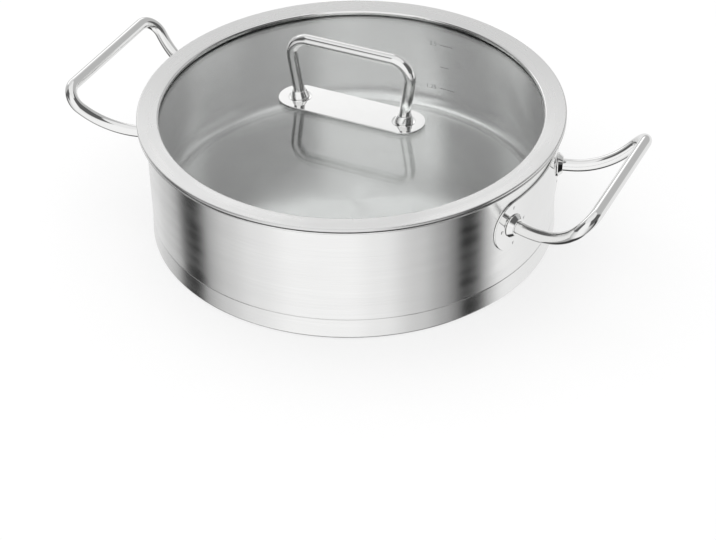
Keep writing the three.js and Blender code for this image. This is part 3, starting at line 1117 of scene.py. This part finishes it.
@dataclass
class LidPane:
    """Flat glass pane with a hole at each foot of the grip."""

    radius: float = 138.3
    bottom: float = 82.6
    top: float = 86.6
    hole_radius: float = 3.8
    hole_half_span: float = 39.2
    segments: int = 192
    hole_segments: int = 40

    def build(self) -> Piece:
        """Cuts the pane.

        Returns:
            The new piece.
        """
        mesh = bpy.data.meshes.new("lid_pane_cut")
        shape = bmesh.new()
        circles = [circle(self.radius, self.bottom, self.segments)]
        for side in (Side.LEFT, Side.RIGHT):
            middle = side.sign * self.hole_half_span
            circles.append(circle(self.hole_radius, self.bottom, self.hole_segments, middle))
        for points in circles:
            ring = [shape.verts.new(point * MM) for point in points]
            for first, second in zip(ring, ring[1:] + ring[:1]):
                shape.edges.new((first, second))
        bmesh.ops.triangle_fill(shape, use_beauty=True, use_dissolve=False, edges=shape.edges)
        raised = bmesh.ops.extrude_face_region(shape, geom=list(shape.faces))["geom"]
        lift = Vector((0.0, 0.0, (self.top - self.bottom) * MM))
        corners = [item for item in raised if isinstance(item, bmesh.types.BMVert)]
        bmesh.ops.translate(shape, vec=lift, verts=corners)
        bmesh.ops.recalc_face_normals(shape, faces=shape.faces)
        shape.to_mesh(mesh)
        shape.free()
        return placed(mesh.name, mesh)

    def dress(self) -> None:
        """Builds the pane in clear glass."""
        dress(self.build(), LID_BODY, Slot.GLASS, PANE_GLASS, "lid_glass")


@dataclass
class LidGrip:
    """Bent rod grip on a long plate, with its collars and the fasteners under the glass."""

    rod_radius: float = 4.0
    foot_half_span: float = 39.2
    top_half_span: float = 46.0
    plate_top: float = 88.5
    height: float = 45.8
    corner_radius: float = 12.5
    leg_shift: float = 0.05
    leg_gap: float = 0.6
    plate_end_radius: float = 15.0
    plate_sheet: float = 1.1
    plate_edge: float = 0.35
    pad_bottom: float = 86.8
    pad_sheet: float = 0.4
    pad_inset: float = 0.6
    collar_base_radius: float = 6.4
    collar_top_radius: float = 4.8
    collar_height: float = 5.4
    collar_land: float = 1.1
    collar_taper: float = 0.2
    collar_fit: float = 0.12
    collar_gap: float = 0.05
    boss_radius: float = 8.2
    boss_width: float = 1.4
    boss_height: float = 0.25
    boss_sink: float = 0.1
    screw_radius: float = 2.0
    screw_top: float = 96.5
    screw_head_radius: float = 4.2
    screw_head_top: float = 81.4
    screw_head_height: float = 2.4
    screw_head_round: float = 1.1
    screw_facets: int = 48
    socket_across: float = 1.5
    socket_depth: float = 1.4
    washer_radius: float = 6.5
    washer_top: float = 82.4
    washer_sheet: float = 0.8
    washer_fit: float = 0.2

    @property
    def lean(self) -> float:
        """Lean of a leg from upright, in radians."""
        return math.atan2(self.top_half_span - self.foot_half_span, self.height)

    def build_rod(self) -> Piece:
        """Bends the grip.

        Returns:
            The new piece.
        """
        foot = (self.foot_half_span + self.leg_shift, self.plate_top + self.leg_gap)
        top = (self.top_half_span, self.plate_top + self.height)
        corners = [Vector((-foot[0], 0.0, foot[1])), Vector((-top[0], 0.0, top[1]))]
        corners += [Vector((top[0], 0.0, top[1])), Vector((foot[0], 0.0, foot[1]))]
        path = bent_path(corners, (self.corner_radius, self.corner_radius))
        return sweep("lid_grip_bent", path, self.rod_radius)

    def build_slab(self, name: str, radius: float, bottom: float, sheet: float) -> Piece:
        """Cuts the plate, or the pad under it.

        Args:
            name: Name of the piece.
            radius: Radius of its ends.
            bottom: Level of its underside.
            sheet: Its thickness.

        Returns:
            The new piece.
        """
        def level(x: float, y: float, up: float) -> Vector:
            """Lays a point flat on the lid."""
            return Vector((x, y, bottom + up))

        edge = min(self.plate_edge, sheet / 2)
        return edged_plate(name, self.foot_half_span, radius, sheet, edge, level)

    def at_foot(self, piece: Piece, side: Side, level: float = 0.0) -> Piece:
        """Moves a turned piece from the axis to a leg's foot.

        Args:
            piece: The piece.
            side: The leg's side.
            level: How far it is raised.

        Returns:
            The same piece.
        """
        seat = Vector((side.sign * self.foot_half_span, 0.0, level))
        piece.data.transform(Matrix.Translation(seat * MM))
        return piece

    def build_collar(self, side: Side) -> Piece:
        """Turns a collar that leans with its leg.

        Args:
            side: The leg's side.

        Returns:
            The new piece.
        """
        bore = self.rod_radius + self.collar_fit
        outline = rounded([
            (bore, 0.0, 0.0),
            (self.collar_base_radius, 0.0, 0.0),
            (self.collar_base_radius - self.collar_taper, self.collar_land, 0.9),
            (self.collar_top_radius, self.collar_height, 0.6),
            (bore, self.collar_height, 0.1),
        ])
        collar = revolve(f"lid_collar_{side.value}_turned", outline, FASTENER_FACETS)
        for vertex in collar.data.vertices:
            vertex.co.x += side.sign * math.tan(self.lean) * vertex.co.z
        return self.at_foot(collar, side, self.plate_top + self.collar_gap)

    def build_boss(self, side: Side) -> Piece:
        """Turns the low step that is pressed into the plate round a collar.

        Args:
            side: The leg's side.

        Returns:
            The new piece.
        """
        inner = self.boss_radius - self.boss_width
        outline = [
            (inner, self.plate_top - self.boss_sink),
            (self.boss_radius, self.plate_top - self.boss_sink),
            (self.boss_radius - self.boss_height, self.plate_top + self.boss_height),
            (inner, self.plate_top + self.boss_height / 2),
        ]
        return self.at_foot(revolve(f"lid_boss_{side.value}_pressed", outline, COLLAR_FACETS), side)

    def build_screw(self, side: Side) -> Piece:
        """Turns a screw with a six-sided socket in its head.

        Args:
            side: The leg's side.

        Returns:
            The new piece.
        """
        low = self.screw_head_top - self.screw_head_height
        head = self.screw_head_radius
        turn = self.screw_head_round
        levels = [
            (NEAR_AXIS, low + self.socket_depth, False),
            (self.socket_across, low + self.socket_depth, True),
            (self.socket_across, low, True),
            *((x, z, False) for x, z in arc((head - turn, low + turn), turn, -90, 0, 6)),
            (head, self.screw_head_top, False),
            (self.screw_radius, self.screw_head_top, False),
            (self.screw_radius, self.screw_top, False),
            (NEAR_AXIS, self.screw_top, False),
        ]
        rings = []
        for radius, height, six_sided in levels:
            ring = []
            for i in range(self.screw_facets):
                angle = 2 * math.pi * i / self.screw_facets
                flat = math.cos((angle % (math.pi / 3)) - math.pi / 6)
                reach = radius / flat if six_sided else radius
                ring.append(Vector((reach * math.cos(angle), reach * math.sin(angle), height)))
            rings.append(ring)
        return self.at_foot(loft(f"lid_screw_{side.value}_turned", rings), side)

    def build_washer(self, side: Side) -> Piece:
        """Turns a washer.

        Args:
            side: The leg's side.

        Returns:
            The new piece.
        """
        low = self.washer_top - self.washer_sheet
        bore = self.screw_radius + self.washer_fit
        outline = rounded([
            (bore, low, 0.1),
            (self.washer_radius, low, 0.3),
            (self.washer_radius, self.washer_top, 0.1),
            (bore, self.washer_top, 0.1),
        ])
        return self.at_foot(revolve(f"lid_washer_{side.value}_turned", outline, FASTENER_FACETS), side)

    def dress(self) -> None:
        """Builds the grip's pieces: polished steel above, fasteners and rubber below."""
        plate_bottom = self.plate_top - self.plate_sheet
        plate = self.build_slab("lid_plate_edged", self.plate_end_radius, plate_bottom, self.plate_sheet)
        pad_radius = self.plate_end_radius - self.pad_inset
        pad = self.build_slab("lid_pad_cut", pad_radius, self.pad_bottom, self.pad_sheet)
        dress(plate, LID_BODY, Slot.POLISHED, ROD_STEEL, "lid_plate")
        dress(pad, LID_BODY, Slot.RUBBER, SEAL_RUBBER, "lid_pad")
        dress(self.build_rod(), LID_BODY, Slot.POLISHED, ROD_STEEL, "lid_grip")
        for side in Side:
            label = side.value
            dress(self.build_collar(side), LID_BODY, Slot.POLISHED, ROD_STEEL, f"lid_collar_{label}")
            dress(self.build_boss(side), LID_BODY, Slot.POLISHED, ROD_STEEL)
            dress(self.build_screw(side), LID_BODY, Slot.FASTENER, SCREW_STEEL, f"lid_screw_{label}")
            dress(self.build_washer(side), LID_BODY, Slot.FASTENER, SCREW_STEEL, f"lid_washer_{label}")
            refinish(f"lid_grommet_{label}", SEAL_RUBBER)


# Studio


@dataclass
class PhotoCamera:
    """Camera at the photograph's angle, with its place in the part's frame."""

    place: Triple = (521.2, -1037.6, 816.3)
    right: Triple = (0.900194, 0.435111, -0.018138)
    down: Triple = (0.247079, -0.544588, -0.801484)
    focal_pixels: float = 1999.2
    image_width: float = 716.0
    sensor_width: float = 36.0
    clip_end: float = 20.0

    def build(self) -> None:
        """Sets the scene's camera up."""
        lens = bpy.data.cameras.new("photo_camera")
        lens.sensor_width = self.sensor_width
        lens.sensor_fit = "HORIZONTAL"
        lens.lens = self.focal_pixels / self.image_width * self.sensor_width
        lens.clip_end = self.clip_end
        right = Vector(self.right).normalized()
        up = -Vector(self.down).normalized()
        turn = Matrix((right, up, right.cross(up))).transposed().to_4x4()
        camera = placed("photo_camera", lens)
        camera.matrix_world = Matrix.Translation(Vector(self.place) * MM) @ turn
        bpy.context.scene.camera = camera


@dataclass
class Studio:
    """White floor, soft lamp, and a pale surround with two dark flags that polished metal mirrors."""

    camera_azimuth: float = -63.3
    floor_radius: float = 3000.0
    floor_level: float = -0.3
    floor_colour: Triple = (0.97, 0.97, 0.97)
    floor_roughness: float = 0.9
    floor_glow: float = 0.65
    lamp_power: float = 4.0
    lamp_size: float = 1.2
    lamp_place: Triple = (-600.0, 300.0, 1500.0)
    # degrees round from the camera, and the surround's brightness there
    surround: tuple[Point2, ...] = (
        (-180.0, 0.86), (-150.0, 0.80), (-128.0, 0.62), (-118.0, 0.50), (-110.0, 0.05), (-98.5, 0.01),
        (-95.0, 0.12), (-90.0, 0.46), (-76.0, 0.66), (-58.0, 0.84), (-34.0, 1.00), (-4.0, 1.00),
        (14.0, 0.90), (36.0, 0.64), (50.0, 0.42), (57.0, 0.26), (63.0, 0.01), (72.0, 0.02),
        (80.0, 0.52), (88.0, 0.92), (120.0, 0.86), (180.0, 0.84),
    )
    side_level: float = 0.12
    front_level: float = 1.0
    back_level: float = 0.52
    overhead_level: float = 0.9
    under_level: float = 0.05
    softbox_level: float = 1.38
    softbox_top_level: float = 0.76
    # degrees: how far panel and front are turned, and half the panel's width outside and inside its fade
    panel_shift: float = 20.0
    panel_fade: Point2 = (34.0, 20.0)
    front_shift: float = 18.0
    # upward part of the direction, or cosine of the turn from the camera, where each zone fades in
    panel_foot: Point2 = (0.25, 0.28)
    panel_head: Point2 = (0.97, 0.91)
    softbox_grade: Point2 = (0.41, 0.63)
    overhead_fade: Point2 = (0.80, 0.86)
    under_fade: Point2 = (-0.88, -0.95)
    horizon_fade: Point2 = (0.02, 0.16)
    front_fade: Point2 = (0.70, 0.87)
    back_fade: Point2 = (-0.10, -0.30)

    @staticmethod
    def rays(graph: Graph) -> tuple[Socket, Socket]:
        """Masks of the camera's own rays, and of those that metal and glass send on."""
        path = graph.add("ShaderNodeLightPath").outputs
        sent_on = graph.math("MAXIMUM", path["Is Glossy Ray"], path["Is Transmission Ray"])
        return path["Is Camera Ray"], sent_on

    def panel(self, graph: Graph, from_camera: Socket, height: Socket) -> Socket:
        """Mask of the softbox behind the pan, which the lid's flat faces mirror.

        Args:
            graph: The world's nodes.
            from_camera: Turn from the camera, in radians.
            height: Upward part of the direction.

        Returns:
            Value socket.
        """
        turned = graph.math("SUBTRACT", from_camera, math.radians(180 + self.panel_shift))
        behind = graph.math("COSINE", turned)
        wide = graph.remap(behind, *(math.cos(math.radians(angle)) for angle in self.panel_fade))
        low = graph.remap(height, *self.panel_foot)
        high = graph.remap(height, *self.panel_head)
        return graph.math("MULTIPLY", wide, graph.math("MULTIPLY", low, high))

    def build_world(self) -> None:
        """Lights the scene evenly, and shows mirrors the surround."""
        world = bpy.data.worlds.new("studio_surround")
        world.use_nodes = True
        bpy.context.scene.world = world
        graph = Graph(world.node_tree)
        direction = graph.add("ShaderNodeTexCoord").outputs["Generated"]
        x, y, height = graph.add("ShaderNodeSeparateXYZ", {0: direction}).outputs
        turn = graph.math("ARCTAN2", y, x)
        from_camera = graph.math("SUBTRACT", turn, math.radians(self.camera_azimuth))
        share = graph.math("WRAP", graph.math("DIVIDE", from_camera, 2 * math.pi), 0.5, -0.5)
        ramp = graph.add("ShaderNodeValToRGB", {0: graph.math("ADD", share, 0.5)})
        ramp.color_ramp.interpolation = "EASE"
        stops = ramp.color_ramp.elements
        while len(stops) < len(self.surround):
            stops.new(0.5)
        for stop, (angle, level) in zip(stops, self.surround):
            stop.position = angle / 360.0 + 0.5
            stop.color = (level, level, level, 1.0)
        lower = graph.mix(graph.remap(height, *self.under_fade), ramp.outputs[0], self.under_level)
        front = graph.math("COSINE", graph.math("ADD", from_camera, math.radians(self.front_shift)))
        toward = graph.remap(front, *self.front_fade, self.side_level, self.front_level)
        back = graph.remap(graph.math("COSINE", from_camera), *self.back_fade)
        around = graph.mix(back, toward, self.back_level)
        upper = graph.mix(graph.remap(height, *self.overhead_fade), around, self.overhead_level)
        level = graph.remap(height, *self.softbox_grade, self.softbox_level, self.softbox_top_level)
        lit = graph.mix(self.panel(graph, from_camera, height), upper, level)
        mirrored = graph.mix(graph.remap(height, *self.horizon_fade), lower, lit)
        colour = graph.mix(self.rays(graph)[1], 1.0, mirrored)
        background = graph.add("ShaderNodeBackground", {"Color": colour, "Strength": 1.0})
        graph.add("ShaderNodeOutputWorld", {"Surface": background.outputs[0]})

    def build_floor(self) -> None:
        """Lays the floor, which keeps the shadow."""
        material = bpy.data.materials.new("studio_floor")
        material.use_nodes = True
        graph = Graph(material.node_tree)
        paint = {"Base Color": (*self.floor_colour, 1.0), "Roughness": self.floor_roughness}
        shader = graph.add("ShaderNodeBsdfPrincipled", paint)
        white = graph.add("ShaderNodeEmission", {"Color": (1.0, 1.0, 1.0, 1.0), "Strength": 1.0})
        seen = graph.math("MULTIPLY", graph.math("MAXIMUM", *self.rays(graph)), self.floor_glow)
        both = graph.add("ShaderNodeMixShader", {0: seen, 1: shader.outputs[0], 2: white.outputs[0]})
        graph.add("ShaderNodeOutputMaterial", {"Surface": both.outputs[0]})
        reach = self.floor_radius
        turns = ((-1, -1), (1, -1), (1, 1), (-1, 1))
        corners = [Vector((x * reach, y * reach, self.floor_level)) for x, y in turns]
        floor = new_piece("studio_floor", corners, [(0, 1, 2, 3)])
        floor.data.materials.append(material)
        floor.visible_glossy = False

    def build_lamp(self) -> None:
        """Hangs one large soft lamp above and behind the pan."""
        light = bpy.data.lights.new("soft_lamp", "AREA")
        light.shape = "DISK"
        light.size = self.lamp_size
        light.energy = self.lamp_power
        lamp = placed("soft_lamp", light)
        lamp.location = Vector(self.lamp_place) * MM
        lamp.rotation_euler = (-lamp.location).to_track_quat("-Z", "Y").to_euler()
        lamp.visible_glossy = False

    def build(self) -> None:
        """Builds the studio."""
        bpy.context.scene.view_settings.view_transform = "Standard"
        self.build_world()
        self.build_floor()
        self.build_lamp()


def main() -> None:
    """Builds the camera, the pan, the lid and the studio."""
    logging.basicConfig(level=logging.INFO, format="%(name)s: %(message)s")
    PhotoCamera().build()
    PanShell().dress()
    Base().dress()
    for side in Side:
        SideHandle(side).dress()
    VolumeScale().dress()
    LidRing().dress()
    LidPane().dress()
    LidGrip().dress()
    Studio().build()


if __name__ == "__main__":
    main()
